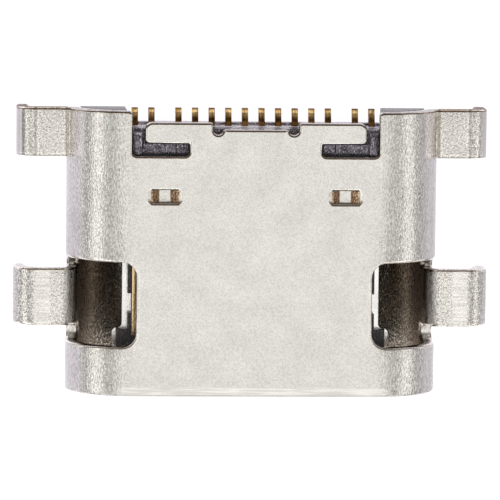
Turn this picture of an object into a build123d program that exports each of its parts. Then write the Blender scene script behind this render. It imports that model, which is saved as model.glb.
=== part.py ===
from build123d import *
from math import asin, cos, degrees, radians, sqrt
import os

# Reversible phone charging port that sits in a cut-out of its circuit board.
# The origin is the middle of the mouth. X runs across, +Y runs in from the mouth to the
# solder tails, +Z points away from the board. Millimetres.

# Shell, a drawn tube of plated steel with flat faces and full-round sides
shell_width = 8.94
shell_height = 3.16
shell_length = 6.85
shell_wall = 0.30
mouth_lead_in = 0.10
mouth_edge_radius = 0.06
lower_sheet_setback = 0.60

# Side windows, where the front legs were cut free of the wall
window_front_y = 1.19
window_rear_y = 3.22
window_reach = 1.65
window_corner_radius = 0.35
window_sill_drop = 0.25
sill_corner_radius = 0.22

# Four legs, bent out of the shell to stand on the board and pass through it
board_seat_z = 0.20
board_thickness = 0.80
pin_stick_out = 0.15
pin_corner_radius = 0.30
front_leg_width = 1.40
front_leg_offset_y = 0.075
front_leg_inner_bend = 0.30
front_leg_outer_bend = 0.42
front_leg_reach = 1.26
rear_leg_width = 1.18
rear_leg_inner_bend = 0.30
rear_leg_outer_bend = 0.35
rear_leg_reach = 1.21
rear_opening_overhang = 0.39

# L-shaped slots behind, which leave a broad tab between them
slot_inner_x = 1.58
slot_outer_x = 2.95
slot_width = 0.30
slot_setback = 1.07
slot_corner_radius = 0.12
tab_inner_x = 0.78
tab_setback = 0.265
tab_corner_radius = 0.18
tab_step_depth = 0.165
notch_radius = 0.125
side_corner_radius = 0.10

# Pressed-in pockets that touch the plug's shell
pocket_x = 2.16
pocket_setback = 0.54
pocket_length = 0.72
pocket_width = 0.31
pocket_corner = 0.06
pocket_floor_length = 0.25
pocket_depth = 0.24
pocket_rim = 0.05

# Contacts and their solder tails
contact_sheet = 0.15
contact_width = 0.25
contact_bend = 0.12
contact_tip_y = 1.20
contact_tip_dip = 0.05
contact_tip_length = 0.12
signal_pitch = 0.50
power_x = 1.25
ground_x = 2.75
jog_inset = 0.10
jog_length = 0.55
riser_inset = 0.12
riser_length = 0.22
power_lap = 0.36
crest_inset = 0.12
crest_length = 0.20
crest_rise = 0.10
crest_slope_length = 0.22
tail_setback = 0.01
tail_width = 0.15
tail_pitch = 0.40
power_tail_x = 1.80
ground_tail_x = 2.65

# Moulded insulator that fills the back of the shell, with a window for the contact carriers
insulator_depth = 1.50
insulator_rear_setback = 0.43
insulator_clearance = 0.02
lower_rear_setback = 0.05
lobe_gap = 0.03
lobe_bottom_z = 0.12
rib_width = 0.21
rib_rear_setback = 0.08
rib_drop = 0.10
block_gap = 0.03
block_end_clearance = 0.05
block_front_clearance = 0.08
block_rear_clearance = 0.02
block_drop = 0.17
inner_block_length = 0.26
carrier_side_wall = 0.125
carrier_half_height = 0.75
carrier_clearance = 0.01
ledge_length = 0.065
ledge_bevel = 0.03
ledge_thickness = 0.30
tail_groove_gap = 0.035
tail_groove_length = 0.05
tail_groove_depth = 0.08

# Tongue, with a wide nose, a narrower blade and a thick collar at its root
tongue_width = 6.69
tongue_thickness = 0.70
tongue_tip_y = 0.75
nose_length = 0.74
nose_side_inset = 0.095
nose_tip_radius = 0.12
nose_corner_radius = 0.30
blade_side_inset = 0.365
side_bay_front_y = 1.87
side_bay_rear_y = 2.35
side_bay_depth = 0.09
collar_length = 0.75
collar_half_height = 0.60

# Stiffening plate inside the tongue, with a latch notch and a rear wing on each side
plate_thickness = 0.15
plate_front_inset = 0.12
plate_corner_radius = 0.35
plate_rear_setback = 0.15
latch_notch_front_y = 1.50
latch_notch_rear_y = 4.30
latch_notch_depth = 0.235
latch_notch_radius = 0.11
wing_gap = 0.06
wing_width = 0.50
wing_inset = 0.07
wing_length = 0.43

# Ground plates on the collar, above and below
ground_sheet = 0.08
ground_side_inset = 0.15
ground_bend = 0.09
ground_lip_gap = 0.10
ground_flange_reach = 0.50
ground_flange_setback = 0.03

# Shell places that follow from the sizes above
end_radius = shell_height / 2
end_centre_x = shell_width / 2 - end_radius
wall_mid_radius = end_radius - shell_wall / 2
side_mid_x = end_centre_x + wall_mid_radius
clear_of_shell = 2 * shell_width
window_inner_x = shell_width / 2 - window_reach
window_mid_y = (window_front_y + window_rear_y) / 2
window_length = window_rear_y - window_front_y
leg_flat_z = board_seat_z + shell_wall / 2
pin_tip_z = board_seat_z - board_thickness - pin_stick_out
front_leg_front_y = window_mid_y + front_leg_offset_y - front_leg_width / 2
rear_leg_front_y = shell_length - rear_leg_width
flare_z = leg_flat_z + rear_leg_inner_bend
flare_radius = wall_mid_radius + rear_leg_inner_bend
flare_angle = degrees(asin(flare_z / flare_radius))
flare_x = end_centre_x + flare_radius * cos(radians(flare_angle))
slot_front_y = shell_length - slot_setback
tab_rear_y = shell_length - tab_setback
tab_step_y = tab_rear_y - tab_step_depth
lower_sheet_rear_y = shell_length - lower_sheet_setback

# Inner places that follow from the sizes above
cavity_depth = shell_length - insulator_depth
pocket_y = cavity_depth - pocket_setback
insulator_height = shell_height - 2 * (shell_wall + insulator_clearance)
insulator_width = shell_width - 2 * (shell_wall + insulator_clearance)
insulator_rear_y = shell_length - insulator_rear_setback
lower_rear_y = lower_sheet_rear_y - lower_rear_setback
outer_tail_x = ground_tail_x + tail_pitch / 2
carrier_half_width = outer_tail_x + tail_width / 2 + carrier_side_wall
collar_front_y = cavity_depth - collar_length
nose_half_width = tongue_width / 2 - nose_side_inset
blade_half_width = tongue_width / 2 - blade_side_inset
plate_rear_y = cavity_depth - plate_rear_setback
wing_inner_x = carrier_half_width + carrier_clearance + wing_gap
wing_front_y = cavity_depth + wing_inset
contact_mid_z = tongue_thickness / 2 - contact_sheet / 2
tail_mid_z = board_seat_z + contact_sheet / 2
jog_front_y = collar_front_y + jog_inset
riser_front_y = cavity_depth + riser_inset
riser_rear_y = riser_front_y + riser_length
crest_front_y = insulator_rear_y - crest_inset
crest_rear_y = crest_front_y + crest_length
tail_foot_y = crest_rear_y + crest_slope_length
tail_tip_y = shell_length - tail_setback
ledge_rear_y = insulator_rear_y + ledge_length


def side_view(y):
    """Plane across the port at depth y, where an extrusion by a negative amount runs in."""
    return Plane.XZ.offset(-y)


def leg_end(flat_start_x, bend_radius, reach):
    """Centre line of a leg from its flat foot, over the outer bend, down to the pin's tip."""
    pin_mid_x = shell_width / 2 + reach - shell_wall / 2
    bend_x = pin_mid_x - bend_radius
    bend_z = leg_flat_z - bend_radius
    Line((flat_start_x, leg_flat_z), (bend_x, leg_flat_z))
    CenterArc((bend_x, bend_z), bend_radius, 90, -90)
    Line((pin_mid_x, bend_z), (pin_mid_x, pin_tip_z))


def draw_corner_waste(x, y, towards_x, radius):
    """What rounding a rear corner at (x, y) takes off a sheet that lies towards_x (1 or -1)."""
    with Locations((x + towards_x * radius / 2, y - radius / 2)):
        Rectangle(radius, radius)
    with Locations((x + towards_x * radius, y - radius)):
        Circle(radius, mode=Mode.SUBTRACT)


def draw_pocket_outline(margin):
    """Rectangle with cut-off corners, that margin wider all round than the pocket's hollow."""
    with Locations((pocket_x, pocket_y)):
        outline = Rectangle(pocket_length + 2 * margin, pocket_width + 2 * margin)
    chamfer(outline.vertices(), pocket_corner + margin * (2 - sqrt(2)))


def pocket_form(top_z):
    """What a pocket's punch takes up below top_z: a sunken floor with a ramp at each end."""
    floor_z = top_z - pocket_depth
    with BuildPart() as form:
        with BuildSketch(side_view(pocket_y - pocket_width / 2)):
            with BuildLine():
                Polyline(
                    (pocket_x - pocket_length / 2, top_z),
                    (pocket_x - pocket_floor_length / 2, floor_z),
                    (pocket_x + pocket_floor_length / 2, floor_z),
                    (pocket_x + pocket_length / 2, top_z),
                    close=True,
                )
            make_face()
        extrude(amount=-pocket_width)
        with BuildSketch(Plane.XY):
            draw_pocket_outline(0)
        extrude(amount=shell_height, mode=Mode.INTERSECT)
    return form.part


pocket_bulge = pocket_form(end_radius - shell_wall)
pocket_hollow = pocket_form(end_radius)

# Shell
with BuildPart() as shell:
    # Tube with its lower sheet cut back at the rear
    with BuildSketch(side_view(0)):
        SlotOverall(shell_width, shell_height)
        SlotOverall(shell_width - 2 * shell_wall, shell_height - 2 * shell_wall, mode=Mode.SUBTRACT)
    extrude(amount=-shell_length)
    with BuildSketch(side_view(lower_sheet_rear_y)):
        with Locations((0, -end_radius)):
            Rectangle(shell_width, 2 * end_radius)
    extrude(amount=-shell_length, mode=Mode.SUBTRACT)

    # Lead-in at the mouth
    mouth_edges = shell.faces().sort_by(Axis.Y)[0].edges()
    inner_mouth = mouth_edges.filter_by(
        lambda edge: (edge @ 0.5).Z ** 2 <= (end_radius - shell_wall / 2) ** 2
        and abs((edge @ 0.5).X) < side_mid_x
    )
    chamfer(inner_mouth, mouth_lead_in)
    outer_mouth = shell.faces().sort_by(Axis.Y)[0].outer_wire().edges()
    fillet(outer_mouth, mouth_edge_radius)

    # One half is formed and the other mirrors it
    split(bisect_by=Plane.YZ, keep=Keep.TOP)

    # Window from the flat top round to its sill on the side
    with BuildSketch(Plane.XY) as window_plan:
        with Locations((window_inner_x, window_mid_y)):
            Rectangle(clear_of_shell, window_length, align=(Align.MIN, Align.CENTER))
        fillet(window_plan.vertices().group_by(Axis.X)[0], window_corner_radius)
    extrude(amount=shell_height, mode=Mode.SUBTRACT)
    with BuildSketch(Plane.YZ.offset(end_centre_x)) as window_side:
        with Locations((window_mid_y, -window_sill_drop)):
            Rectangle(window_length, end_radius, align=(Align.CENTER, Align.MIN))
        fillet(window_side.vertices().group_by(Axis.Y)[0], sill_corner_radius)
    extrude(amount=clear_of_shell, mode=Mode.SUBTRACT)

    # Rear leg, flared out of the shoulder in place of the side wall
    with BuildSketch(side_view(rear_leg_front_y)):
        with Locations((end_centre_x, 0)):
            Rectangle(clear_of_shell, shell_height, align=Align.MIN)
        with Locations((end_centre_x + rear_opening_overhang, 0)):
            Rectangle(clear_of_shell, shell_height, align=(Align.MIN, Align.MAX))
    extrude(amount=-shell_length, mode=Mode.SUBTRACT)
    with BuildSketch(side_view(rear_leg_front_y)):
        with BuildLine():
            CenterArc((end_centre_x, 0), wall_mid_radius, 90, flare_angle - 90)
            CenterArc((flare_x, flare_z), rear_leg_inner_bend, 180 + flare_angle, 90 - flare_angle)
            leg_end(flare_x, rear_leg_outer_bend, rear_leg_reach)
        trace(line_width=shell_wall)
    extrude(amount=-rear_leg_width)

    # L-shaped slot and the stepped rear edge of the tab beside it
    with BuildSketch(Plane.XY) as slot_plan:
        with Locations((slot_inner_x, slot_front_y)):
            Rectangle(slot_outer_x - slot_inner_x, slot_width, align=Align.MIN)
        with Locations((slot_outer_x - slot_width, slot_front_y)):
            Rectangle(slot_width, shell_length, align=Align.MIN)
        slot_corners = slot_plan.vertices().filter_by_position(
            Axis.Y, slot_front_y - slot_width, slot_front_y + slot_width / 2
        )
        fillet(slot_corners, slot_corner_radius)
        inner_corner = slot_plan.vertices().filter_by_position(
            Axis.X, slot_outer_x - slot_width - 0.01, slot_outer_x - slot_width + 0.01
        )
        fillet(inner_corner.sort_by(Axis.Y)[0], slot_corner_radius)
        draw_corner_waste(slot_outer_x, shell_length, 1, side_corner_radius)
    extrude(amount=shell_height, mode=Mode.SUBTRACT)
    with BuildSketch(Plane.XY):
        with Locations((0, tab_rear_y)):
            Rectangle(slot_outer_x - slot_width, shell_length, align=Align.MIN)
        with Locations((0, tab_step_y)):
            Rectangle(tab_inner_x, shell_length, align=Align.MIN)
        with Locations((tab_inner_x + notch_radius, tab_step_y)):
            Circle(notch_radius)
            Rectangle(2 * notch_radius, shell_length, align=(Align.CENTER, Align.MIN))
        draw_corner_waste(slot_outer_x - slot_width, tab_rear_y, -1, tab_corner_radius)
    extrude(amount=shell_height, mode=Mode.SUBTRACT)

    # Pressed-in pockets with bevelled rims, one above and one below
    add([pocket_bulge, pocket_bulge.mirror(Plane.XY)])
    add([pocket_hollow, pocket_hollow.mirror(Plane.XY)], mode=Mode.SUBTRACT)
    for face_z in (1, -1):
        with BuildSketch(Plane.XY.offset(face_z * end_radius)):
            draw_pocket_outline(pocket_rim)
        extrude(amount=-face_z * pocket_rim, taper=45, mode=Mode.SUBTRACT)

    # Front leg, rising from the window sill
    with BuildSketch(side_view(front_leg_front_y)):
        with BuildLine():
            CenterArc((end_centre_x, 0), wall_mid_radius, -45, 45)
            inner_bend_z = leg_flat_z - front_leg_inner_bend
            Line((side_mid_x, 0), (side_mid_x, inner_bend_z))
            flat_start_x = side_mid_x + front_leg_inner_bend
            CenterArc((flat_start_x, inner_bend_z), front_leg_inner_bend, 180, -90)
            leg_end(flat_start_x, front_leg_outer_bend, front_leg_reach)
        trace(line_width=shell_wall)
        with Locations((end_centre_x, -window_sill_drop)):
            Rectangle(end_radius, end_radius, align=(Align.MIN, Align.MAX), mode=Mode.SUBTRACT)
    extrude(amount=-front_leg_width)

    # Rounded pin tips
    tip_edges = shell.edges().filter_by(Axis.X).filter_by_position(Axis.Z, pin_tip_z - 0.01, pin_tip_z + 0.01)
    fillet(tip_edges, pin_corner_radius)

    mirror(about=Plane.YZ)
shell.part.label = "shell"
export_step(shell.part, "parts/shell.step")


def contact_side_line(row, link_only):
    """Corners of a contact's centre line from tip to tail, seen from the side."""
    mid_z = row * contact_mid_z
    tip = [(contact_tip_y, mid_z - row * contact_tip_dip), (contact_tip_y + contact_tip_length, mid_z)]
    if link_only:
        link_z = board_seat_z - contact_sheet / 2
        link_rear_y = riser_rear_y + power_lap
        return tip + [(riser_front_y, mid_z), (riser_rear_y, link_z), (link_rear_y, link_z)]
    crest_z = tail_mid_z + crest_rise
    if row > 0:
        rise = [(crest_front_y - riser_length, mid_z), (crest_front_y, crest_z)]
    else:
        rise = [(riser_front_y, mid_z), (riser_rear_y, crest_z)]
    tail = [(crest_rear_y, crest_z), (tail_foot_y, tail_mid_z), (tail_tip_y, tail_mid_z)]
    return tip + rise + tail


def make_contact(label, row, front_x, tail_x, link_only=False):
    """One stamped contact: its side view and its plan, each as a strip, cut by each other."""
    with BuildPart() as contact:
        with BuildSketch(Plane.YZ):
            with BuildLine():
                FilletPolyline(*contact_side_line(row, link_only), radius=contact_bend)
            trace(line_width=contact_sheet)
        extrude(amount=shell_width / 2, both=True)
        with BuildSketch(Plane.XY):
            with BuildLine():
                front = (front_x, contact_tip_y - contact_width)
                jog_front = (front_x, jog_front_y)
                jog_rear = (tail_x, jog_front_y + jog_length)
                Polyline(front, jog_front, jog_rear, (tail_x, tail_tip_y + contact_width))
            trace(line_width=tail_width)
            with Locations(front):
                blade_length = jog_front_y - front[1]
                Rectangle(contact_width, blade_length, align=(Align.CENTER, Align.MIN))
        extrude(amount=end_radius, both=True, mode=Mode.INTERSECT)
    contact.part.label = label
    export_step(contact.part, f"parts/{label}.step")
    return contact.part


# Contacts, named from the mouth: the two rows hold the same functions, turned half round
contacts = []
tail_places = []
for row_name, row in (("upper", 1), ("lower", -1)):
    tail_shift = 0 if row > 0 else tail_pitch
    ground_tail = ground_tail_x + row * tail_pitch / 2
    functions = (
        ("ground", row * ground_x, row * ground_tail),
        ("power", row * power_x, row * power_tail_x),
        ("side_channel", row * 1.5 * signal_pitch, row * (2.5 * tail_pitch + tail_shift)),
        ("data_minus", row * 0.5 * signal_pitch, row * (0.5 * tail_pitch + tail_shift)),
        ("data_plus", row * -0.5 * signal_pitch, row * -(0.5 * tail_pitch + tail_shift)),
        ("sense", row * -1.5 * signal_pitch, row * -(2.5 * tail_pitch + tail_shift)),
        ("power", row * -power_x, row * -power_tail_x),
        ("ground", row * -ground_x, row * -ground_tail),
    )
    for function, front_x, tail_x in functions:
        side_name = "right" if front_x > 0 else "left"
        label = f"{row_name}_{function}_contact_{side_name}"
        link_only = row < 0 and function == "power"
        contacts.append(make_contact(label, row, front_x, tail_x, link_only))
        if not link_only:
            tail_places.append((tail_x, ledge_rear_y))

# Stiffening plate
with BuildPart() as mid_plate:
    with BuildSketch(Plane.XY) as plate_plan:
        with Locations((0, tongue_tip_y + plate_front_inset)):
            plate_length = plate_rear_y - tongue_tip_y - plate_front_inset
            Rectangle(tongue_width, plate_length, align=(Align.CENTER, Align.MIN))
        fillet(plate_plan.vertices().group_by(Axis.Y)[0], plate_corner_radius)
        notch_mid_y = (latch_notch_front_y + latch_notch_rear_y) / 2
        notch_length = latch_notch_rear_y - latch_notch_front_y
        with Locations((tongue_width / 2, notch_mid_y), (-tongue_width / 2, notch_mid_y)):
            Rectangle(2 * latch_notch_depth, notch_length, mode=Mode.SUBTRACT)
        notch_corners = plate_plan.vertices().filter_by_position(
            Axis.Y, latch_notch_front_y - latch_notch_radius, latch_notch_rear_y + latch_notch_radius
        )
        fillet(notch_corners, latch_notch_radius)
        for side in (1, -1):
            arm_width = tongue_width / 2 - wing_inner_x
            with Locations((side * (wing_inner_x + arm_width / 2), plate_rear_y)):
                Rectangle(arm_width, 2 * (wing_front_y - plate_rear_y + wing_length / 2))
            with Locations((side * (wing_inner_x + wing_width / 2), wing_front_y + wing_length / 2)):
                Rectangle(wing_width, wing_length)
    extrude(amount=plate_thickness / 2, both=True)
mid_plate.part.label = "mid_plate"
export_step(mid_plate.part, "parts/mid_plate.step")

# Tongue, moulded round the plate and the contacts
with BuildPart() as tongue:
    with BuildSketch(Plane.XY) as nose_plan:
        with Locations((0, tongue_tip_y)):
            Rectangle(2 * nose_half_width, nose_length, align=(Align.CENTER, Align.MIN))
        fillet(nose_plan.vertices().group_by(Axis.Y)[0], nose_corner_radius)
    extrude(amount=tongue_thickness / 2, both=True)
    nose_front = tongue.edges().filter_by_position(Axis.Y, tongue_tip_y - 0.01, tongue_tip_y + 0.01)
    fillet(nose_front.filter_by(Axis.X), nose_tip_radius)
    with BuildSketch(Plane.XY):
        with Locations((0, tongue_tip_y + nose_length)):
            blade_length = cavity_depth - tongue_tip_y - nose_length
            Rectangle(2 * blade_half_width, blade_length, align=(Align.CENTER, Align.MIN))
        bay_mid_y = (side_bay_front_y + side_bay_rear_y) / 2
        with Locations((blade_half_width, bay_mid_y), (-blade_half_width, bay_mid_y)):
            Rectangle(2 * side_bay_depth, side_bay_rear_y - side_bay_front_y, mode=Mode.SUBTRACT)
    extrude(amount=tongue_thickness / 2, both=True)
    with BuildSketch(Plane.YZ) as collar_side:
        with Locations((collar_front_y, 0)):
            Rectangle(collar_length, 2 * collar_half_height, align=(Align.MIN, Align.CENTER))
        fillet(collar_side.vertices().group_by(Axis.X)[0], ground_bend)
    extrude(amount=carrier_half_width, both=True)
    add(mid_plate.part, mode=Mode.SUBTRACT)
    add(contacts, mode=Mode.SUBTRACT)
tongue.part.label = "tongue"
export_step(tongue.part, "parts/tongue.step")

# Ground plates, folded over the collar's front edge and up against the insulator
for row_name, row in (("upper", 1), ("lower", -1)):
    with BuildPart() as ground_plate:
        with BuildSketch(Plane.YZ):
            with BuildLine():
                lip_y = collar_front_y - ground_sheet / 2
                flange_y = cavity_depth - ground_flange_setback - ground_sheet / 2
                sheet_z = collar_half_height + ground_sheet / 2
                FilletPolyline(
                    (lip_y, row * (tongue_thickness / 2 + ground_lip_gap)),
                    (lip_y, row * sheet_z),
                    (flange_y, row * sheet_z),
                    (flange_y, row * (sheet_z + ground_flange_reach)),
                    radius=ground_bend,
                )
            trace(line_width=ground_sheet)
        extrude(amount=carrier_half_width - ground_side_inset, both=True)
    ground_plate.part.label = f"{row_name}_ground_plate"
    export_step(ground_plate.part, f"parts/{row_name}_ground_plate.step")

# Contact carriers, one moulded round each row
with BuildPart() as upper_carrier:
    with BuildSketch(side_view(cavity_depth)):
        Rectangle(2 * carrier_half_width, carrier_half_height, align=(Align.CENTER, Align.MIN))
    extrude(amount=cavity_depth - insulator_rear_y)
    with BuildSketch(side_view(insulator_rear_y)):
        with Locations((0, board_seat_z)):
            Rectangle(2 * carrier_half_width, ledge_thickness, align=(Align.CENTER, Align.MAX))
    extrude(amount=-ledge_length)
    ledge_edge = upper_carrier.edges().filter_by(Axis.X).group_by(Axis.Y)[-1].sort_by(Axis.Z)[-1]
    chamfer(ledge_edge, ledge_bevel)
    with BuildSketch(Plane.XY.offset(board_seat_z)):
        with Locations(*tail_places):
            Rectangle(tail_width + 2 * tail_groove_gap, 2 * tail_groove_length)
    extrude(amount=-tail_groove_depth, mode=Mode.SUBTRACT)
    add(contacts, mode=Mode.SUBTRACT)
upper_carrier.part.label = "upper_contact_carrier"
export_step(upper_carrier.part, "parts/upper_contact_carrier.step")

with BuildPart() as lower_carrier:
    with BuildSketch(side_view(cavity_depth)):
        Rectangle(2 * carrier_half_width, carrier_half_height, align=(Align.CENTER, Align.MAX))
    extrude(amount=cavity_depth - lower_rear_y)
    add(contacts, mode=Mode.SUBTRACT)
lower_carrier.part.label = "lower_contact_carrier"
export_step(lower_carrier.part, "parts/lower_contact_carrier.step")

# Insulator block
with BuildPart() as insulator:
    with BuildSketch(side_view(cavity_depth)):
        SlotOverall(insulator_width, insulator_height)
    extrude(amount=cavity_depth - shell_length)

    # Rear steps: the middle ends short of the lobes, and the lower half short of both
    with BuildSketch(side_view(insulator_rear_y)):
        Rectangle(2 * (carrier_half_width + lobe_gap), insulator_height)
        with Locations((0, lobe_bottom_z)):
            Rectangle(shell_width, insulator_height, align=(Align.CENTER, Align.MAX))
    extrude(amount=-shell_length, mode=Mode.SUBTRACT)
    with BuildSketch(side_view(lower_rear_y)):
        with Locations((0, board_seat_z - ledge_thickness)):
            Rectangle(shell_width, insulator_height, align=(Align.CENTER, Align.MAX))
    extrude(amount=-shell_length, mode=Mode.SUBTRACT)

    # Window for the carriers
    with BuildSketch(side_view(0)):
        Rectangle(2 * (carrier_half_width + carrier_clearance), 2 * (carrier_half_height + carrier_clearance))
    extrude(amount=-2 * shell_length, mode=Mode.SUBTRACT)

    # Ribs and blocks that stand in the shell's L-shaped slots
    rib_base_z = carrier_half_height + carrier_clearance
    rib_front_y = slot_front_y + insulator_clearance
    rib_rear_y = insulator_rear_y - rib_rear_setback
    rib_outer_x = slot_outer_x - insulator_clearance
    outer_block_end_x = rib_outer_x - rib_width - insulator_clearance
    inner_block_start_x = slot_inner_x + block_end_clearance
    inner_block_end_x = inner_block_start_x + inner_block_length
    outer_block_start_x = inner_block_end_x + block_gap
    for side in (1, -1):
        with BuildSketch(Plane.XY.offset(rib_base_z)) as rib_plan:
            with Locations((side * (rib_outer_x - rib_width / 2), rib_front_y)):
                Rectangle(rib_width, rib_rear_y - rib_front_y, align=(Align.CENTER, Align.MIN))
            front_corners = rib_plan.vertices().group_by(Axis.Y)[0]
            fillet(front_corners, slot_corner_radius - insulator_clearance)
        extrude(amount=end_radius - rib_drop - rib_base_z)
        with BuildSketch(Plane.XY.offset(rib_base_z)):
            block_mid_y = slot_front_y + (slot_width + block_front_clearance - block_rear_clearance) / 2
            block_width = slot_width - block_front_clearance - block_rear_clearance
            with Locations((side * (inner_block_start_x + inner_block_end_x) / 2, block_mid_y)):
                Rectangle(inner_block_length, block_width)
            with Locations((side * (outer_block_start_x + outer_block_end_x) / 2, block_mid_y)):
                Rectangle(outer_block_end_x - outer_block_start_x, block_width)
        extrude(amount=end_radius - block_drop - rib_base_z)
    add(mid_plate.part, mode=Mode.SUBTRACT)
insulator.part.label = "insulator"
export_step(insulator.part, "parts/insulator.step")
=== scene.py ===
from math import cos, radians, sin
from types import SimpleNamespace

import bpy
from mathutils import Matrix, Vector


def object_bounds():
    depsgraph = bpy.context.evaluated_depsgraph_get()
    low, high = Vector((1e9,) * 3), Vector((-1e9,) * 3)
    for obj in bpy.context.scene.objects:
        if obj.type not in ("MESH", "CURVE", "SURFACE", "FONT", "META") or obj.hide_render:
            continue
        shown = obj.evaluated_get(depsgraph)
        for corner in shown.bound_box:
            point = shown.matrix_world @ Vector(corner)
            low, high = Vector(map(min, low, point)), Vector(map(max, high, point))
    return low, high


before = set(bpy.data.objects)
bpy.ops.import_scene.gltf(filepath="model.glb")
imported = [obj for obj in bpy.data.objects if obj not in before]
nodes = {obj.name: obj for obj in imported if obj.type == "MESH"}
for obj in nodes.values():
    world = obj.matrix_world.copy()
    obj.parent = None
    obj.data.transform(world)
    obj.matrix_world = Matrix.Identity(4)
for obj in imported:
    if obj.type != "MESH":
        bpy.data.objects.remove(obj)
cad_low, cad_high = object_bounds()

# One millimetre in metres. The lengths below are in millimetres, unless a comment says otherwise.
MM = 0.001

# Photograph: its width in pixels, its pixels per millimetre, and the place in its middle
PHOTO_WIDTH = 500
PIXELS_PER_MM = 41.4
VIEW_CENTRE = Vector((-0.017, 3.378, 0.0)) * MM

# Camera, which looks down on the port from a little to the left and behind: its angles in degrees, its lens
# and sensor, and where its view starts and ends, in metres
LEAN_LEFT = 3.8
LEAN_BACK = 6.0
ROLL = 0.28
LENS = 400.0
SENSOR = 36.0
VIEW_START = 0.01
VIEW_END = 20.0

tilt = Matrix.Rotation(radians(-LEAN_BACK), 4, "X")
lean = Matrix.Rotation(radians(-LEAN_LEFT), 4, "Y")
roll = Matrix.Rotation(radians(ROLL), 4, "Z")
view_width = PHOTO_WIDTH / PIXELS_PER_MM * MM
distance = LENS / SENSOR * view_width
cam_data = bpy.data.cameras.new("camera")
cam_data.type = "PERSP"
cam_data.lens = LENS
cam_data.sensor_width = SENSOR
cam_data.clip_start = VIEW_START
cam_data.clip_end = VIEW_END
camera = bpy.data.objects.new("camera", cam_data)
bpy.context.scene.collection.objects.link(camera)
camera.matrix_world = Matrix.Translation(VIEW_CENTRE) @ tilt @ lean @ roll @ Matrix.Translation((0, 0, distance))
bpy.context.scene.camera = camera
bpy.context.scene.view_settings.view_transform = "Standard"


# Helpers for the node trees. A span is a pair of numbers, from and to.

def new_tree(name):
    """A material with an empty node tree."""
    material = bpy.data.materials.new(name)
    material.use_nodes = True
    tree = material.node_tree
    tree.nodes.clear()
    return material, tree


def put(tree, socket, value):
    """Gives a socket a value or another node's output."""
    if isinstance(value, bpy.types.NodeSocket):
        tree.links.new(value, socket)
    else:
        socket.default_value = value


def add(tree, kind, **inputs):
    """A node of that kind, with values or other nodes' outputs for its inputs."""
    node = tree.nodes.new(kind)
    for key, value in inputs.items():
        put(tree, node.inputs[key.replace("_", " ")], value)
    return node


def ramp(tree, factor, stops):
    """Colour read off a ramp through (position, colour or grey) stops."""
    node = tree.nodes.new("ShaderNodeValToRGB")
    tree.links.new(factor, node.inputs["Fac"])
    elements = node.color_ramp.elements
    while len(elements) < len(stops):
        elements.new(0.5)
    for element, (position, colour) in zip(elements, stops):
        element.position = position
        if isinstance(colour, (int, float)):
            colour = (colour, colour, colour)
        element.color = (*colour, 1.0)
    return node.outputs["Color"]


def noise(tree, coords, scale, detail=2.0, rough=0.5):
    """Noise with its scale in features per millimetre."""
    node = add(tree, "ShaderNodeTexNoise", Vector=coords, Scale=scale, Detail=detail, Roughness=rough)
    return node.outputs["Fac"]


def vector_maths(tree, operation, first, second=None):
    """Vector node with that operation, on one or two vectors."""
    node = tree.nodes.new("ShaderNodeVectorMath")
    node.operation = operation
    tree.links.new(first, node.inputs[0])
    if second is not None:
        put(tree, node.inputs[1], second)
    return node


def times(tree, colour, factor):
    """Colour or coordinates, multiplied by a value or by another vector."""
    return vector_maths(tree, "MULTIPLY", colour, factor).outputs["Vector"]


def millimetres(tree):
    """Object coordinates in millimetres."""
    coords = tree.nodes.new("ShaderNodeTexCoord").outputs["Object"]
    node = vector_maths(tree, "SCALE", coords)
    node.inputs["Scale"].default_value = 1 / MM
    return node.outputs["Vector"]


def maths(tree, operation, *values):
    """Result of a sum on values or other nodes' outputs."""
    node = tree.nodes.new("ShaderNodeMath")
    node.operation = operation
    for socket, value in zip(node.inputs, values):
        put(tree, socket, value)
    return node.outputs[0]


def product(tree, first, *others):
    """Product of two or more values."""
    for other in others:
        first = maths(tree, "MULTIPLY", first, other)
    return first


def spread(tree, value, span, ends, kind="SMOOTHSTEP"):
    """Value mapped from a span to two ends, which are also its limits."""
    node = add(tree, "ShaderNodeMapRange", Value=value, From_Min=span[0], From_Max=span[1],
               To_Min=ends[0], To_Max=ends[1])
    node.interpolation_type = kind
    return node.outputs["Result"]


def rise(tree, value, span):
    """Zero before a span and one after it."""
    return spread(tree, value, span, (0.0, 1.0))


def fall(tree, value, span):
    """One before a span and zero after it."""
    return spread(tree, value, span, (1.0, 0.0))


def box(tree, value, span, blur):
    """One inside a span, and zero beyond a short blur."""
    low, high = span
    begins, ends = (low - blur, low + blur), (high - blur, high + blur)
    return product(tree, rise(tree, value, begins), fall(tree, value, ends))


def at(tree, place, ends, kind="SMOOTHSTEP"):
    """First end where the place is zero, and the second where it is one."""
    return spread(tree, place, (0.0, 1.0), ends, kind)


def weighted(tree, first, second, share):
    """Two values mixed, with share of the first and the rest of the second."""
    node = tree.nodes.new("ShaderNodeMix")
    tree.links.new(second, node.inputs[2])
    tree.links.new(first, node.inputs[3])
    put(tree, node.inputs[0], share)
    return node.outputs[0]


def blend(tree, colour, other, factor):
    """Colour passing into the other as the factor goes from zero to one."""
    node = tree.nodes.new("ShaderNodeMix")
    node.data_type = "RGBA"
    tree.links.new(factor, node.inputs["Factor"])
    for socket, value in ((node.inputs[6], colour), (node.inputs[7], other)):
        put(tree, socket, (*value, 1.0) if isinstance(value, tuple) else value)
    return node.outputs[2]


def scaled(tree, colour, factor, place):
    """Colour multiplied by a number where the place is one."""
    return times(tree, colour, at(tree, place, (1.0, factor)))


def tinted(tree, colour, tint, place):
    """Colour multiplied by a tint where the place is one."""
    return times(tree, colour, ramp(tree, place, [(0.0, 1.0), (1.0, tint)]))


# What a surface is made of, for the shader
METAL = 1.0
PLASTIC = 0.0


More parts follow.
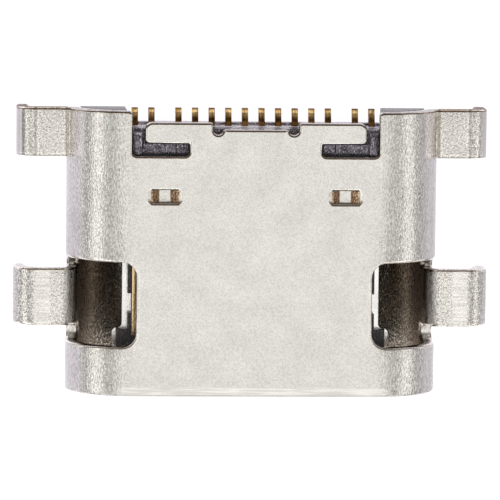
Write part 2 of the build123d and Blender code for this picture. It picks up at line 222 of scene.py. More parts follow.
def finish_surface(tree, colour, height, bump_mm, metallic, rough):
    """Principled shader with that colour and roughness, and a bump of that many millimetres."""
    bump = add(tree, "ShaderNodeBump", Height=height, Strength=1.0, Distance=bump_mm * MM)
    shader = add(tree, "ShaderNodeBsdfPrincipled", Base_Color=colour, Metallic=metallic, Roughness=rough,
                 Normal=bump.outputs["Normal"])
    add(tree, "ShaderNodeOutputMaterial", Surface=shader.outputs["BSDF"])
    return shader


# Parts of the noise, from zero to one, between which wide blotches go from one colour to the other
BLOTCHES = (0.35, 0.65)
# Roughness of sheet metal's dark and light blotches, as shares of its own, and the peel's share in its bump
BLOTCH_ROUGHNESS = (1.2, 0.85)
PEEL_IN_BUMP = 0.75


def sheet_metal(name, dark, light, grain, bump_mm, rough, speck=0.06):
    """Bright sheet metal with fine specks, an orange-peel grain and faint blotches."""
    material, tree = new_tree(name)
    coords = millimetres(tree)
    fine = noise(tree, coords, grain * 2, 2.0, 0.6)
    peel = noise(tree, coords, grain, 2.0, 0.6)
    wide = noise(tree, coords, grain / 10, 2.0)
    specks = spread(tree, fine, (0.36, 0.64), (1 - speck, 1 + speck), "LINEAR")
    colour = times(tree, ramp(tree, wide, list(zip(BLOTCHES, (dark, light)))), specks)
    roughness = ramp(tree, wide, [(part, rough * share) for part, share in zip(BLOTCHES, BLOTCH_ROUGHNESS)])
    finish_surface(tree, colour, weighted(tree, peel, fine, PEEL_IN_BUMP), bump_mm, METAL, roughness)
    return material


# Contacts, along the part: where the strips on the tongue pass into the tails, where the painted shade on the
# tails' foot ends, where their bend has a painted glint, and where painted shade darkens them towards their rear
# end
STRIPS_END = (5.0, 5.2)
TAIL_FOOT = (6.58, 6.72)
TAIL_PAINTED_GLINT = (6.70, 6.88)
TAIL_END = (6.79, 6.82)
# Factors of painted shade at the tails' foot and at their rear end
TAIL_FOOT_PAINTED_SHADE = 0.38
TAIL_END_PAINTED_SHADE = 0.5
STRIP_GOLD = (0.84, 0.63, 0.36)
# Streaks along the tails, how far the painted glint waves, and its strength from dark to light streaks
STREAKS_ALONG = (1.0, 0.15, 0.15)
PAINTED_GLINT_WAVE = 0.16
PAINTED_GLINT_STRENGTH = (0.3, 0.9)
# Roughness and share of the bump, on the tails and on the strips
GOLD_ROUGHNESS = (0.28, 0.15)
GOLD_BUMP_SHARE = (1.0, 0.3)
GOLD_BUMP = 0.008


def contact_gold(name, dark, light, bright):
    """Gold of the contacts: brown and matt on the tails, with a painted glint on their bend and painted shade at
    their foot and rear end, and bright and smooth along the tongue.
    """
    material, tree = new_tree(name)
    coords = millimetres(tree)
    along = add(tree, "ShaderNodeSeparateXYZ", Vector=coords).outputs["Y"]
    fine = noise(tree, coords, 30.0, 2.0, 0.6)
    wide = noise(tree, coords, 3.0, 2.0)
    streaks = noise(tree, times(tree, coords, STREAKS_ALONG), 24.0, 1.0)
    specks = spread(tree, weighted(tree, streaks, fine, 0.5), (0.38, 0.62), (0.62, 1.38), "LINEAR")
    colour = times(tree, ramp(tree, wide, list(zip(BLOTCHES, (dark, light)))), specks)
    wavy = maths(tree, "ADD", along, product(tree, wide, PAINTED_GLINT_WAVE))
    # Painted glint on the tails' bend, broken up by the streaks
    painted_glint = product(tree, box(tree, wavy, TAIL_PAINTED_GLINT, 0.05), spread(tree, streaks, (0.35, 0.55), PAINTED_GLINT_STRENGTH))
    colour = blend(tree, colour, bright, painted_glint)
    # Painted shade at the tails' foot and at their rear end
    colour = times(tree, colour, spread(tree, along, TAIL_FOOT, (TAIL_FOOT_PAINTED_SHADE, 1.0)))
    colour = times(tree, colour, spread(tree, along, TAIL_END, (1.0, TAIL_END_PAINTED_SHADE)))
    on_strip = fall(tree, along, STRIPS_END)
    colour = blend(tree, colour, STRIP_GOLD, on_strip)
    height = product(tree, fine, at(tree, on_strip, GOLD_BUMP_SHARE))
    finish_surface(tree, colour, height, GOLD_BUMP, METAL, at(tree, on_strip, GOLD_ROUGHNESS))
    return material


# Plated shell. Heights of its faces over its middle, and spans or places from its middle to a side:
FACE_OUT = 1.58
FACE_IN = 1.28
BEND_BEGINS = (2.7, 3.3)
SHOULDER_X = 2.89
RIM_FADES = (3.0, 3.5)
SHOULDER = (3.1, 4.45)
DEEP_INSIDE = (3.6, 4.0)
WALL_PAINTED_LIGHT_GROWS = (4.06, 4.42)
WALL_ENDS = (4.36, 4.39)
LEG_ROOT = (4.38, 4.48)
LEGS_BEGIN = (4.42, 4.52)
FRONT_LEG_FLAT = (4.85, 5.22)
PIN_BEGINS = (5.47, 5.52)
# Spans or places along it, and the height at which the wall beside the rear legs begins:
COINED_RIM = (0.18, 0.28)
FRONT_LEGS_END = (3.2, 3.3)
RIM_HIGHLIGHT_FADES = (3.6, 5.6)
REAR_LEGS_BEGIN = (5.55, 5.60)
REAR_LEG_Y = 5.67
WALL_BESIDE = (5.72, 6.78)
WALL_UP = (0.25, 0.45)
REAR_EDGE = (6.80, 6.84)
# Pockets: their middle, half length and half width, and half the straight parts of their outline
POCKET = (2.16, 4.81)
POCKET_HALF = (0.34, 0.145)
POCKET_STRAIGHT = (0.30, 0.10)

# Noises of the plating: features per millimetre, detail and roughness. Two are stretched by the factors below
# them, along the bends and across the coined places.
FINE_GRAIN = (40.0, 1.0, 0.5)
ORANGE_PEEL = (18.0, 2.0, 0.55)
DRAWN_GRAIN = (28.0, 2.0, 0.6)
DRAWN_ALONG = (1.0, 0.45, 1.0)
COIN_STREAKS = (22.0, 1.0)
STREAKS_ACROSS = (0.06, 1.0, 1.0)
# How much of the grain is left at the mouth, on the front legs and on the rear pins
MOUTH_CALM = 0.15
FRONT_LEG_CALM = 0.35
PIN_CALM = 0.3
# Strength of the specks on the flat top and on the bends, what the legs add, and the light specks' share of it
SPECK_STRENGTH = (0.14, 0.30)
LEG_SPECKS = 0.26
LIGHT_SPECKS = 0.55
# Factors of brightness: rear legs, the painted highlight line along them, the painted light on the wall beside
# them on the left and the right, and the painted highlight deep inside the tube
LEG_SHADE = 0.94
LEG_LINE_PAINTED_HIGHLIGHT = 1.2
WALL_PAINTED_LIGHT = (2.2, 3.4)
DEEP_PAINTED_HIGHLIGHT = 1.9
# Roughness from dark to light grain, and what the inside adds to it; bumps of the faces and of their rims
PLATING_ROUGHNESS = (0.17, 0.12)
INSIDE_ROUGHNESS = 0.12
PLATING_BUMP = 0.014
RIM_BUMP = 0.003

# Its plain colours, and the tints that they are multiplied by. Besides the speck tint, which is the grain's own,
# these are painted shade, painted glints and painted highlights
PLATING_DARK = (0.585, 0.575, 0.555)
PLATING_LIGHT = (0.635, 0.625, 0.605)
SPECK_TINT = (1.0, 0.93, 0.86)
# Painted shade inside the tube, and the colour of its painted glints
INSIDE_PAINTED_SHADE = (0.58, 0.53, 0.48)
SPARK_PAINTED_GLINT = (0.95, 0.84, 0.68)
# Painted shade on the pockets' sloped ends, mottled
POCKET_PAINTED_SHADE_DARK = (0.20, 0.13, 0.08)
POCKET_PAINTED_SHADE_LIGHT = (0.52, 0.40, 0.29)
# Painted shade of the dark line along the rear legs' front
LEG_LINE_PAINTED_SHADE = (0.48, 0.44, 0.42)
# Painted shade on the legs' roots, on cut faces that look to the rear, and on the rear of the legs
LEG_ROOT_PAINTED_SHADE = (0.86, 0.82, 0.76)
REAR_PAINTED_SHADE = (0.76, 0.72, 0.74)
REAR_OF_LEG_PAINTED_SHADE = (0.66, 0.60, 0.54)
# Painted highlights on the legs' rear rims and on the rims towards the front
RIM_REAR_PAINTED_HIGHLIGHT = (1.60, 1.45, 1.36)
RIM_FRONT_PAINTED_HIGHLIGHT = (1.3, 1.29, 1.27)
# What is left of the white glare on the legs' faces and rims that look to the rear
REAR_OF_LEG_GLARE = (0.20, 0.17, 0.15)
RIM_GLARE = (0.30, 0.26, 0.23)

# Painted shade and painted highlights along the bends of the rear legs: each one's tint, its place towards the
# side and its half width
CREASE_PAINTED_LIGHT_AND_SHADE = (
    ((0.40, 0.36, 0.32), 4.505, 0.03),
    ((1.12, 1.12, 1.12), 4.56, 0.03),
    ((1.22, 1.22, 1.22), 5.185, 0.03),
    ((0.58, 0.54, 0.50), 5.245, 0.04),
    ((0.80, 0.76, 0.73), 5.49, 0.015),
    ((1.35, 1.35, 1.35), 5.535, 0.03),
    ((1.45, 1.45, 1.45), 5.37, 0.07),
)

# Painted light and shade on faces that lean to a side: how far they lean (the normal's x, negative to the left)
# and the tint
LEANING_FACE_LIGHT_AND_SHADE = (
    ((-0.30, -0.50), (1.06, 1.06, 1.06)),
    ((-0.74, -0.87), (0.70, 0.68, 0.725)),
    ((0.30, 0.50), (0.945, 0.945, 0.945)),
    ((0.66, 0.80), (0.69, 0.67, 0.69)),
    ((0.84, 0.94), (0.86, 0.85, 0.89)),
)

# Painted light and shade on the rounded edges, by the way they face, from those that look to the front to those
# that look to the rear
RIM_PAINTED_LIGHT_AND_SHADE = (
    (0.12, (0.46, 0.41, 0.38)),
    (0.22, (0.60, 0.55, 0.52)),
    (0.32, (1.60, 1.60, 1.58)),
    (0.55, (1.10, 1.09, 1.07)),
    (0.66, (1.00, 0.99, 0.96)),
    (0.70, (0.26, 0.20, 0.16)),
    (0.80, (0.30, 0.24, 0.19)),
    (0.88, (0.78, 0.71, 0.64)),
    (1.00, (0.95, 0.92, 0.96)),
)


def shell_places(tree):
    """Coordinates on the shell, the way its faces look, and the places that its materials share."""
    coords = millimetres(tree)
    split = add(tree, "ShaderNodeSeparateXYZ", Vector=coords)
    normal = tree.nodes.new("ShaderNodeNewGeometry").outputs["Normal"]
    facing = add(tree, "ShaderNodeSeparateXYZ", Vector=normal)
    x, along, up = split.outputs["X"], split.outputs["Y"], split.outputs["Z"]
    side = maths(tree, "ABSOLUTE", x)
    beyond = maths(tree, "MAXIMUM", maths(tree, "SUBTRACT", side, SHOULDER_X), 0.0)
    squares = maths(tree, "ADD", product(tree, beyond, beyond), product(tree, up, up))
    inside = fall(tree, maths(tree, "SQRT", squares), (FACE_IN + 0.005, FACE_IN + 0.05))
    return SimpleNamespace(
        coords=coords, x=x, along=along, up=up, side=side, height=maths(tree, "ABSOLUTE", up), inside=inside,
        facing_side=facing.outputs["X"], facing_rear=facing.outputs["Y"],
        on_legs=rise(tree, side, LEGS_BEGIN), on_rear_leg=rise(tree, along, REAR_LEGS_BEGIN),
    )


def shell_grain(tree, on):
    """Grain of the plating: fine specks, and an orange peel that is drawn out along the bends."""
    fine = noise(tree, on.coords, *FINE_GRAIN)
    peel = noise(tree, on.coords, *ORANGE_PEEL)
    drawn = noise(tree, times(tree, on.coords, DRAWN_ALONG), *DRAWN_GRAIN)
    shoulder = box(tree, on.side, SHOULDER, 0.05)
    mixed = weighted(tree, drawn, weighted(tree, fine, peel, 0.6), at(tree, shoulder, (0.0, 0.7)))

    # It is calm where the metal is coined: at the mouth, on the front legs and on the rear pins
    mouth = product(tree, fall(tree, on.along, COINED_RIM), fall(tree, on.side, RIM_FADES))
    front_leg = product(tree, box(tree, on.side, FRONT_LEG_FLAT, 0.05), fall(tree, on.along, FRONT_LEGS_END))
    on_pin = product(tree, rise(tree, on.side, PIN_BEGINS), on.on_rear_leg)
    calm = product(tree, at(tree, mouth, (1.0, MOUTH_CALM), "LINEAR"),
                   at(tree, front_leg, (1.0, FRONT_LEG_CALM), "LINEAR"),
                   at(tree, on_pin, (1.0, PIN_CALM), "LINEAR"))

    # It is coarse on the shoulders, and coarsest on the legs
    bent = at(tree, rise(tree, on.side, BEND_BEGINS), SPECK_STRENGTH, "LINEAR")
    coarse = maths(tree, "ADD", bent, product(tree, on.on_legs, LEG_SPECKS))
    strength = product(tree, coarse, calm)
    dark_end = maths(tree, "SUBTRACT", 1.0, strength)
    light_end = maths(tree, "ADD", 1.0, product(tree, strength, LIGHT_SPECKS))
    specks = spread(tree, mixed, (0.37, 0.58), (dark_end, light_end), "LINEAR")
    polished = maths(tree, "MAXIMUM", front_leg, mouth)
    return SimpleNamespace(fine=fine, peel=peel, drawn=drawn, mixed=mixed, calm=calm, specks=specks,
                           polished=polished)


def plain_plating(tree, on, grain):
    """Colour of the plating with its specks, and with streaks across the coined places."""
    wide = noise(tree, on.coords, 1.3, 2.0)
    colour = ramp(tree, wide, list(zip(BLOTCHES, (PLATING_DARK, PLATING_LIGHT))))
    dark_specks = spread(tree, grain.specks, (0.55, 1.0), (0.0, 1.0), "LINEAR")
    browned = ramp(tree, dark_specks, [(0.0, SPECK_TINT), (1.0, 1.0)])
    colour = times(tree, times(tree, colour, grain.specks), browned)
    streaks = noise(tree, times(tree, on.coords, STREAKS_ACROSS), *COIN_STREAKS)
    bright = spread(tree, streaks, (0.40, 0.60), (0.98, 1.20), "LINEAR")
    return blend(tree, colour, times(tree, colour, bright), grain.polished)


def paint_leg_light_and_shade(tree, on, colour):
    """Painted shade and painted highlights along the bends of the rear legs, and a painted dark line and a
    painted highlight line along their front.
    """
    wavy = maths(tree, "ADD", on.side, product(tree, noise(tree, on.coords, 6.0), 0.03))
    colour = scaled(tree, colour, LEG_SHADE, product(tree, on.on_rear_leg, on.on_legs))
    for tint, place, half_width in CREASE_PAINTED_LIGHT_AND_SHADE:
        line = box(tree, wavy, (place - half_width / 2, place + half_width / 2), half_width)
        colour = tinted(tree, colour, tint, product(tree, line, on.on_rear_leg))
    # Painted dark line and painted highlight line along the rear legs' front
    painted_shade_line = product(tree, box(tree, on.along, (REAR_LEG_Y - 0.02, REAR_LEG_Y + 0.02), 0.012), on.on_legs)
    painted_highlight_line = product(tree, box(tree, on.along, (REAR_LEG_Y + 0.045, REAR_LEG_Y + 0.085), 0.02), on.on_legs)
    colour = tinted(tree, colour, LEG_LINE_PAINTED_SHADE, painted_shade_line)
    return scaled(tree, colour, LEG_LINE_PAINTED_HIGHLIGHT, painted_highlight_line)


def paint_light_on_wall(tree, on, colour):
    """Painted light on the wall beside the rear legs, against the shade that they cast on it, and more painted
    light on the right.
    """
    beside = product(tree, box(tree, on.along, WALL_BESIDE, 0.04), rise(tree, on.up, WALL_UP),
                     fall(tree, on.side, WALL_ENDS))
    # Painted light that grows towards the legs, stronger on the right
    at_leg = spread(tree, on.x, (-0.1, 0.1), WALL_PAINTED_LIGHT)
    painted_light = spread(tree, on.side, WALL_PAINTED_LIGHT_GROWS, (1.0, at_leg), "LINEAR")
    return blend(tree, colour, times(tree, colour, painted_light), beside)


def paint_shade_inside(tree, on, grain, colour):
    """Painted brown shade inside the tube, a painted highlight deep inside it, and bright painted glints."""
    colour = tinted(tree, colour, INSIDE_PAINTED_SHADE, on.inside)
    colour = scaled(tree, colour, DEEP_PAINTED_HIGHLIGHT, product(tree, on.inside, rise(tree, on.side, DEEP_INSIDE)))
    # Painted glints inside the tube
    painted_glints = product(tree, spread(tree, grain.drawn, (0.50, 0.62), (0.0, 0.65)), on.inside)
    return blend(tree, colour, SPARK_PAINTED_GLINT, painted_glints)


def past_straight(tree, value, middle, half):
    """How far a value lies past half a length on either side of a middle."""
    away = maths(tree, "ABSOLUTE", maths(tree, "SUBTRACT", value, middle))
    return maths(tree, "MAXIMUM", maths(tree, "SUBTRACT", away, half), 0.0)


def paint_pocket_light_and_shade(tree, on, grain, colour):
    """Painted shade in a brown mottle on the ends of the pockets, and their outline, with painted shade in front
    and a painted highlight behind.
    """
    (x, y), (half_x, half_y) = POCKET, POCKET_HALF
    pocket = product(tree, box(tree, on.side, (x - half_x, x + half_x), 0.01),
                     box(tree, on.along, (y - half_y, y + half_y), 0.01))
    sunk = box(tree, on.height, (FACE_IN + 0.08, FACE_OUT - 0.03), 0.01)
    painted_mottle = ramp(tree, grain.peel, [(0.40, POCKET_PAINTED_SHADE_DARK), (0.60, POCKET_PAINTED_SHADE_LIGHT)])
    colour = blend(tree, colour, painted_mottle, product(tree, pocket, sunk))
    past_x = past_straight(tree, on.side, x, POCKET_STRAIGHT[0])
    past_y = past_straight(tree, on.along, y, POCKET_STRAIGHT[1])
    squares = maths(tree, "ADD", product(tree, past_x, past_x), product(tree, past_y, past_y))
    on_face = rise(tree, on.height, (FACE_OUT - 0.03, FACE_OUT - 0.02))
    outline = product(tree, box(tree, maths(tree, "SQRT", squares), (0.075, 0.095), 0.012), on_face)
    # Painted shade on the outline's front and a painted highlight on its rear
    towards_rear = rise(tree, on.along, (y - 0.15, y - 0.05))
    outline_light_and_shade = ramp(tree, towards_rear, [(0.0, (0.42, 0.36, 0.30)), (1.0, (1.16, 1.16, 1.15))])
    return blend(tree, colour, times(tree, colour, outline_light_and_shade), outline)


def paint_face_light_and_shade(tree, on, colour):
    """Painted shade on cut faces that look to the rear, ragged at the rear edge, and on the legs' roots, and
    painted light and shade on walls that lean to a side.

    It also gives the place that is the rear of the rear legs.
    """
    # Painted shade on cut faces that look to the rear, darker and ragged at the rear edge
    rear = rise(tree, on.facing_rear, (0.75, 0.98))
    colour = tinted(tree, colour, REAR_PAINTED_SHADE, rear)
    rear_edge = product(tree, rear, rise(tree, on.along, REAR_EDGE), fall(tree, on.side, (4.30, 4.50)))
    ragged = ramp(tree, noise(tree, on.coords, 7.0), [(0.40, (0.45, 0.41, 0.40)), (0.60, (0.85, 0.82, 0.83))])
    colour = blend(tree, colour, times(tree, colour, ragged), rear_edge)
    rear_of_leg = product(tree, rear, product(tree, on.on_rear_leg, on.on_legs))
    colour = tinted(tree, colour, REAR_OF_LEG_PAINTED_SHADE, rear_of_leg)
    # Painted shade on the legs' roots
    root = product(tree, box(tree, on.side, LEG_ROOT, 0.012), on.on_rear_leg)
    colour = tinted(tree, colour, LEG_ROOT_PAINTED_SHADE, product(tree, root, at(tree, rear, (1.0, 0.0))))
    # Painted light and shade on walls that lean to a side
    for lean_span, tint in LEANING_FACE_LIGHT_AND_SHADE:
        colour = tinted(tree, colour, tint, rise(tree, on.facing_side, lean_span))
    return colour, rear_of_leg


def shell_plating(name, rim):
    """The shell's plating, coarse on its shoulders and legs, coined at the mouth, with painted shade inside.

    With rim it is for the rounded edges: smooth, with painted highlights, and painted brown shade where they
    face the rear.
    """
    material, tree = new_tree(name)
    on = shell_places(tree)
    grain = shell_grain(tree, on)
    colour = plain_plating(tree, on, grain)
    colour = paint_leg_light_and_shade(tree, on, colour)
    colour = paint_light_on_wall(tree, on, colour)
    colour = paint_shade_inside(tree, on, grain, colour)
    colour = paint_pocket_light_and_shade(tree, on, grain, colour)
    colour, rear_of_leg = paint_face_light_and_shade(tree, on, colour)
    rough = maths(tree, "ADD", spread(tree, grain.mixed, BLOTCHES, PLATING_ROUGHNESS, "LINEAR"),
                  product(tree, on.inside, INSIDE_ROUGHNESS))
    if rim:
        # Painted light and shade on the rounded edges by the way they face, and painted highlights on the front
        # rims and the legs' rear rims
        ragged = maths(tree, "ADD", on.facing_rear, product(tree, noise(tree, on.coords, 9.0), 0.35))
        line = ramp(tree, maths(tree, "MULTIPLY_ADD", ragged, 0.5, 0.5), RIM_PAINTED_LIGHT_AND_SHADE)
        line = blend(tree, line, RIM_FRONT_PAINTED_HIGHLIGHT, spread(tree, on.along, RIM_HIGHLIGHT_FADES, (0.75, 0.0)))
        on_leg = product(tree, on.on_rear_leg, rise(tree, on.side, (4.42, 4.50)))
        to_rear = product(tree, on_leg, rise(tree, on.facing_rear, (0.3, 0.6)))
        colour = times(tree, colour, blend(tree, line, RIM_REAR_PAINTED_HIGHLIGHT, to_rear))
        shader = finish_surface(tree, colour, grain.fine, RIM_BUMP, METAL, rough)
        glare = ramp(tree, to_rear, [(0.0, 1.0), (1.0, RIM_GLARE)])
    else:
        height = product(tree, weighted(tree, grain.drawn, grain.peel, 0.6), grain.calm)
        shader = finish_surface(tree, colour, height, PLATING_BUMP, METAL, rough)
        glare = ramp(tree, rear_of_leg, [(0.0, 1.0), (1.0, REAR_OF_LEG_GLARE)])
    tree.links.new(glare, shader.inputs["Specular Tint"])
    return material


# Moulded plastic, with painted shade and painted light: the lobes beside the tails, the ribs in the slots, the
# ledge under the tails, and the notches beside that, painted dark as shade, whose middle lies a little to the
# right of the part's
LOBES_BEGIN = (6.62, 6.68)
RIB_SIDE = (2.84, 2.92)
RIB_REAR = (6.30, 6.34)
RIB_FRONT = (5.79, 5.86)
RIB_UP = (1.1, 1.2)
LEDGE = (6.39, 6.46)
LEDGE_UP = (-0.1, 0.6)
LEDGE_BLOTS = (6.437, 6.468)
NOTCH = (6.40, 6.44)
NOTCH_UP = (0.60, 0.75)
NOTCH_MIDDLE = 0.055
NOTCH_SIDE = (0.77, 1.06)
BLOT_PAINTED_SHADE = (0.004, 0.004, 0.004)
# Factors of brightness of those places: painted shade and painted light
LOBE_PAINTED_SHADE = 0.5
RIB_EDGE_PAINTED_SHADE = 0.3
LEDGE_PAINTED_LIGHT = 1.8
NOTCH_PAINTED_SHADE = 0.12
# Light specks, painted glints off the glass fibre: how they are stretched, and how much lighter they are than
# the plastic
PLASTIC_GLINT_STRETCH = (1.0, 0.4, 1.0)
PLASTIC_GLINT_LIFT = 2.6
PLASTIC_GLINT_BASE = 0.05


def moulded_plastic(name, dark, light, bump_mm, rough, specular=0.5):
    """Moulded plastic with glass fibre in it, a matt grain, and light specks that are painted glints off the
    fibre.
    """
    material, tree = new_tree(name)
    coords = millimetres(tree)
    split = add(tree, "ShaderNodeSeparateXYZ", Vector=coords)
    x, along, up = split.outputs["X"], split.outputs["Y"], split.outputs["Z"]
    fine = noise(tree, coords, 26.0, 3.0, 0.65)
    wide = noise(tree, coords, 6.0, 2.0)
    glint_noise = noise(tree, times(tree, coords, PLASTIC_GLINT_STRETCH), 34.0, 1.0)
    colour = ramp(tree, weighted(tree, fine, wide, 0.6), [(0.40, dark), (0.62, light)])
    glint_colour = tuple(min(1.0, value * PLASTIC_GLINT_LIFT + PLASTIC_GLINT_BASE) for value in light)
    # Light specks: painted glints off the glass fibre
    colour = blend(tree, colour, glint_colour, spread(tree, glint_noise, (0.56, 0.67), (0.0, 0.75)))

    # Painted shade on the lobes and edges of the ribs, painted light on the ledge, and painted shade in notches
    # and dark blots along the ledge
    colour = scaled(tree, colour, LOBE_PAINTED_SHADE, rise(tree, along, LOBES_BEGIN))
    rib_side = product(tree, rise(tree, maths(tree, "ABSOLUTE", x), RIB_SIDE), fall(tree, along, RIB_REAR))
    rib_edge = maths(tree, "MAXIMUM", rib_side, fall(tree, along, RIB_FRONT))
    colour = scaled(tree, colour, RIB_EDGE_PAINTED_SHADE, product(tree, rib_edge, rise(tree, up, RIB_UP)))
    ledge = product(tree, box(tree, along, LEDGE, 0.02), rise(tree, up, LEDGE_UP))
    colour = scaled(tree, colour, LEDGE_PAINTED_LIGHT, ledge)
    from_middle = maths(tree, "ABSOLUTE", maths(tree, "SUBTRACT", x, NOTCH_MIDDLE))
    notch = product(tree, box(tree, along, NOTCH, 0.02), rise(tree, up, NOTCH_UP),
                    box(tree, from_middle, NOTCH_SIDE, 0.02))
    colour = scaled(tree, colour, NOTCH_PAINTED_SHADE, notch)
    # Dark blots along the ledge: painted shade
    patches = noise(tree, times(tree, coords, (1.0, 3.0, 1.0)), 5.0, 1.0)
    painted_blots = product(tree, spread(tree, patches, (0.50, 0.53), (0.0, 0.85)), box(tree, along, LEDGE_BLOTS, 0.008))
    colour = blend(tree, colour, BLOT_PAINTED_SHADE, painted_blots)
    roughness = ramp(tree, fine, [(0.3, rough), (0.7, rough * 0.8)])
    shader = finish_surface(tree, colour, fine, bump_mm, PLASTIC, roughness)
    shader.inputs["Specular IOR Level"].default_value = specular
    return material


plating = shell_plating("plating", False)
plating_rim = shell_plating("plating_rim", True)
plate_steel = sheet_metal("plate_steel", (0.74, 0.73, 0.72), (0.84, 0.83, 0.82), 12.0, 0.004, 0.20)
ground_sheet = sheet_metal("ground_sheet", (0.30, 0.28, 0.25), (0.42, 0.40, 0.36), 12.0, 0.006, 0.35)
gold = contact_gold("gold", (0.24, 0.11, 0.032), (0.50, 0.25, 0.075), (1.0, 0.74, 0.36))
# Darker copy of the gold for the contacts' rounded edges: painted shade on them
gold_edge_painted_shade = contact_gold("gold_edge_painted_shade", (0.10, 0.05, 0.02), (0.22, 0.12, 0.05), (0.55, 0.36, 0.16))
# Lighter copy of the insulator's plastic for its rounded edges: painted highlight on them
insulator_edge_highlight = moulded_plastic(
    "insulator_edge_highlight", (0.10, 0.095, 0.115), (0.34, 0.32, 0.38), 0.010, 0.32, specular=0.25)
insulator_plastic = moulded_plastic(
    "insulator_plastic", (0.014, 0.013, 0.018), (0.27, 0.25, 0.30), 0.014, 0.34, specular=0.25)
# Contact carriers' plastic, much lighter than the rest: painted light on their rear faces and ledge
carrier_plastic = moulded_plastic("carrier_plastic", (0.22, 0.21, 0.25), (0.68, 0.65, 0.74), 0.010, 0.45)
tongue_plastic = moulded_plastic("tongue_plastic", (0.006, 0.006, 0.008), (0.035, 0.032, 0.034), 0.006, 0.40)

# Every other node is a contact, and has the gold
finishes = {
    "shell": plating,
    "insulator": insulator_plastic,
    "tongue": tongue_plastic,
    "mid_plate": plate_steel,
    "upper_ground_plate": ground_sheet,
    "lower_ground_plate": ground_sheet,
    "upper_contact_carrier": carrier_plastic,
    "lower_contact_carrier": carrier_plastic,
}
for name, node in nodes.items():
    node.data.materials.clear()
    node.data.materials.append(finishes.get(name, gold))
    if name not in finishes:
        node.data.materials.append(gold_edge_painted_shade)
nodes["shell"].data.materials.append(plating_rim)
nodes["insulator"].data.materials.append(insulator_edge_highlight)

# Widths of the roundings
SHELL_ROUNDING = 0.07
INSULATOR_ROUNDING = 0.025
PLATE_ROUNDING = 0.02
CONTACT_ROUNDING = 0.03
# Edges sharper than this many degrees are rounded, and faces flatter than the other are joined first
SHARP = 40
FLAT = 0.6
# Points closer than this are one
SAME_PLACE = 0.0002
# Places of the smaller roundings, towards the side and along the part: round the pockets, the rear pins
# beyond a side and an end, and the front of the rear legs beyond a side
POCKET_SIDE = (1.5, 2.7)
POCKET_ALONG = (4.2, 5.2)
PIN_SIDE = 5.2
PIN_ALONG = 5.5
LEG_SIDE = 3.9
LEG_FRONT = (5.60, 5.75)
# Shares of the full rounding round the pockets, and along the front of the rear legs
POCKET_SHARE = 0.28
LEG_SHARE = 0.3
# Tips of the rear pins: height where they begin, how far they go on, and the middle of the pins along the part
TIP_UP = -0.45
TIP_HEIGHT = 0.30
PIN_MIDDLE = 6.26


def rounding_share(place):
    """Share of the full rounding at a place on the shell, in millimetres.

    It is small at the pockets and along the front of the rear legs. It grows again round the
    tips of their pins in small steps, because one big step would leave a spike.
    """
    side = abs(place.x)
    if POCKET_SIDE[0] < side < POCKET_SIDE[1] and POCKET_ALONG[0] < place.y < POCKET_ALONG[1]:
        return POCKET_SHARE
    if side > PIN_SIDE and place.y > PIN_ALONG and place.z < TIP_UP:
        around = min(1.0, (TIP_UP - place.z) / TIP_HEIGHT)
        step = (1.0 - LEG_SHARE) / 2 * around
        return LEG_SHARE + step if place.y < PIN_MIDDLE else 1.0 - step
    if side > LEG_SIDE and LEG_FRONT[0] < place.y < LEG_FRONT[1]:
        return LEG_SHARE
    return 1.0


def mark_sharp(mesh):
    """Bevel weights on the sharp edges of the shell's mesh."""
    normals = {}
    for polygon in mesh.polygons:
        for pair in polygon.edge_keys:
            ends = frozenset(tuple(mesh.vertices[index].co) for index in pair)
            normals.setdefault(ends, []).append(polygon.normal.copy())
    weights = mesh.attributes.new("bevel_weight_edge", "FLOAT", "EDGE")
    for edge in mesh.edges:
        places = [mesh.vertices[index].co for index in edge.vertices]
        around = normals[frozenset(tuple(place) for place in places)]
        if len(around) == 2 and around[0].angle(around[1], 0.0) >= radians(SHARP):
            weights.data[edge.index].value = rounding_share((places[0] + places[1]) / 2 / MM)


def soften(node, width_mm, segments=3, rim_slot=-1, marked=False):
    """Rounds a CAD node's sharp edges with modifiers, which leave its own vertices alone."""
    weld = node.modifiers.new("weld", "WELD")
    weld.merge_threshold = SAME_PLACE * MM
    flat = node.modifiers.new("flat", "DECIMATE")
    flat.decimate_type = "DISSOLVE"
    flat.angle_limit = radians(FLAT)
    bevel = node.modifiers.new("bevel", "BEVEL")
    bevel.width = width_mm * MM
    bevel.segments = segments
    bevel.limit_method = "WEIGHT" if marked else "ANGLE"
    bevel.angle_limit = radians(SHARP)
    bevel.use_clamp_overlap = not marked
    bevel.loop_slide = not marked
    bevel.material = rim_slot
    normals = node.modifiers.new("normals", "WEIGHTED_NORMAL")
    normals.keep_sharp = False
    normals.weight = 50


mark_sharp(nodes["shell"].data)
soften(nodes["shell"], SHELL_ROUNDING, 4, rim_slot=1, marked=True)
soften(nodes["insulator"], INSULATOR_ROUNDING, rim_slot=1)
soften(nodes["mid_plate"], PLATE_ROUNDING)
for name, node in nodes.items():
    if name not in finishes:
        soften(node, CONTACT_ROUNDING, rim_slot=1)

# Pale floor, just under the shell, which glows round the part and less towards its edges
FLOOR_GAP = 0.01 * MM
FLOOR_SIZE = 600 * MM
FLOOR_DARK = (0.54, 0.535, 0.555)
FLOOR_LIGHT = (0.57, 0.565, 0.585)
GLOW_FADES = (13.0, 28.0)
GLOW = (0.86, 0.05)
GLOW_COLOUR = (0.97, 0.96, 1.0, 1.0)

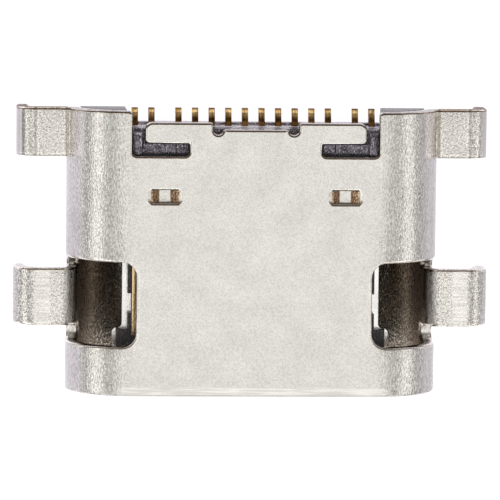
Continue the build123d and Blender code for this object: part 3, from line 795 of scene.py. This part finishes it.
bpy.ops.mesh.primitive_plane_add(size=FLOOR_SIZE, location=(0, VIEW_CENTRE.y, cad_low.z - FLOOR_GAP))
floor = bpy.context.object
floor.name = "floor"
floor_material, tree = new_tree("floor")
floor_coords = millimetres(tree)
shade = ramp(tree, noise(tree, floor_coords, 0.05), [(0.3, FLOOR_DARK), (0.7, FLOOR_LIGHT)])
reach = vector_maths(tree, "LENGTH", floor_coords).outputs["Value"]
surface = add(tree, "ShaderNodeBsdfPrincipled", Base_Color=shade, Roughness=0.9, Emission_Color=GLOW_COLOUR,
              Emission_Strength=spread(tree, reach, GLOW_FADES, GLOW, "LINEAR"))
add(tree, "ShaderNodeOutputMaterial", Surface=surface.outputs["BSDF"])
floor.data.materials.append(floor_material)

# Studio light: a bright panel overhead, a bright ring low around it, and less light from behind. The sky's
# brightness goes by the cosine of the angle from straight up, or nearly: it leans by a few tenths of a degree.
LIGHT_LEAN = radians(0.5)
LIGHT_STRENGTH = 1.8
SKY = (
    (0.000, 0.05),
    (0.087, 0.14),
    (0.191, 0.48),
    (0.292, 0.86),
    (0.391, 1.00),
    (0.485, 0.95),
    (0.559, 0.62),
    (0.629, 0.31),
    (0.695, 0.22),
    (0.755, 0.28),
    (0.809, 0.44),
    (0.857, 0.59),
    (0.899, 0.67),
    (0.940, 0.69),
    (1.000, 0.69),
)
FRONT_LIGHT = (1.0, 0.985, 0.955)
REAR_LIGHT = (0.24, 0.20, 0.165)

world = bpy.data.worlds.new("studio")
world.use_nodes = True
tree = world.node_tree
tree.nodes.clear()
direction = tree.nodes.new("ShaderNodeTexCoord").outputs["Generated"]
height = vector_maths(tree, "DOT_PRODUCT", direction, (sin(LIGHT_LEAN), 0.0, cos(LIGHT_LEAN)))
sky = ramp(tree, height.outputs["Value"], SKY)
split = add(tree, "ShaderNodeSeparateXYZ", Vector=direction)
behind = spread(tree, split.outputs["Y"], (0.10, 0.55), (0.0, 1.0), "LINEAR")
tint = ramp(tree, behind, [(0.0, FRONT_LIGHT), (1.0, REAR_LIGHT)])
light = add(tree, "ShaderNodeBackground", Color=times(tree, sky, tint), Strength=LIGHT_STRENGTH)
add(tree, "ShaderNodeOutputWorld", Surface=light.outputs["Background"])
bpy.context.scene.world = world
